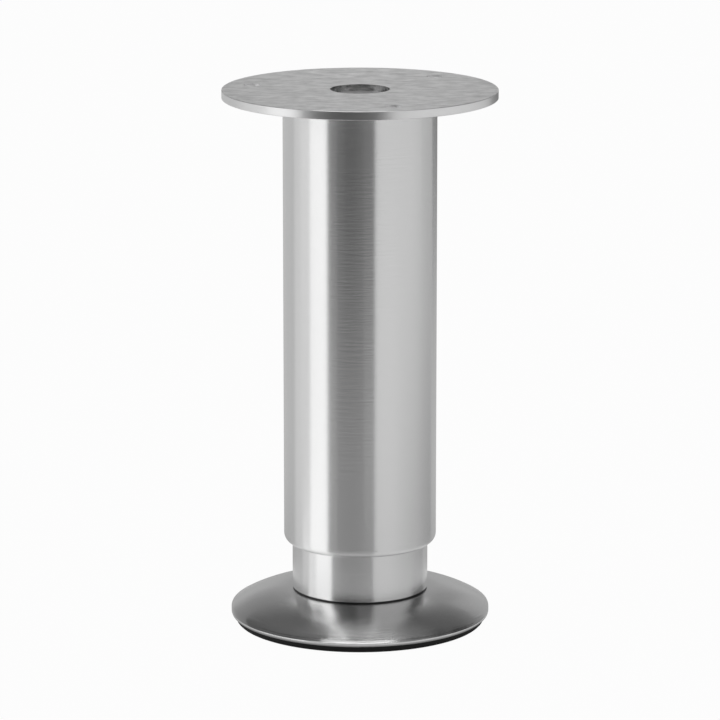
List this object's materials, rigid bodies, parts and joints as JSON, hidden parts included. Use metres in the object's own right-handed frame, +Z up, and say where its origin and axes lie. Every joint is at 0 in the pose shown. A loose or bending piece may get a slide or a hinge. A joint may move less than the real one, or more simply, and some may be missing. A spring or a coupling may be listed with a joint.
{
  "type": "furniture leg",
  "caption": "Height-adjustable brushed steel furniture leg: round screw-on top plate, main tube, telescoping sleeve and a domed foot on a dark pad that turns to set the height.",
  "frame": {"origin": "middle of the floor face, under the foot pad", "axes": "+Z up along the leg's axis to the mounting plate; +Y points away from the picture's camera"},
  "size_m": [0.0808, 0.0808, 0.16],
  "materials": {
    "brushed_stainless": "brushed round the axis",
    "rolled_steel": "rolled, mottled grey",
    "plain_steel": "turned",
    "zinc_steel": "zinc plated",
    "black_plastic": "moulded, satin",
    "black_pad": "moulded, matt"
  },
  "bodies": {
    "leg": {"mounting_plate": "rolled_steel", "outer_tube": "brushed_stainless", "top_plug": "plain_steel", "nut_carrier": "plain_steel", "spindle_nut": "zinc_steel"},
    "sleeve": {"sleeve": "brushed_stainless", "guide_ring": "black_plastic", "end_ring": "plain_steel"},
    "foot": {"foot_disc": "brushed_stainless", "foot_pad": "black_pad", "slip_ring": "black_plastic", "spindle": "zinc_steel", "spacer_bush": "plain_steel", "retaining_washer": "zinc_steel", "clamp_nut": "zinc_steel"}
  },
  "joints": [
    {"name": "height_adjust", "type": "slide", "parent": "leg", "child": "sleeve", "axis": [0, 0, -1], "range_m": [0, 0.02]},
    {"name": "foot_turn", "type": "hinge", "parent": "sleeve", "child": "foot", "pos_m": [0, 0, 0], "axis": [0, 0, -1], "range_deg": [0, 4800]}
  ],
  "couplings": [
    {"joint": "height_adjust", "follows": "foot_turn", "m_per_rad": 0.00023873}
  ]
}
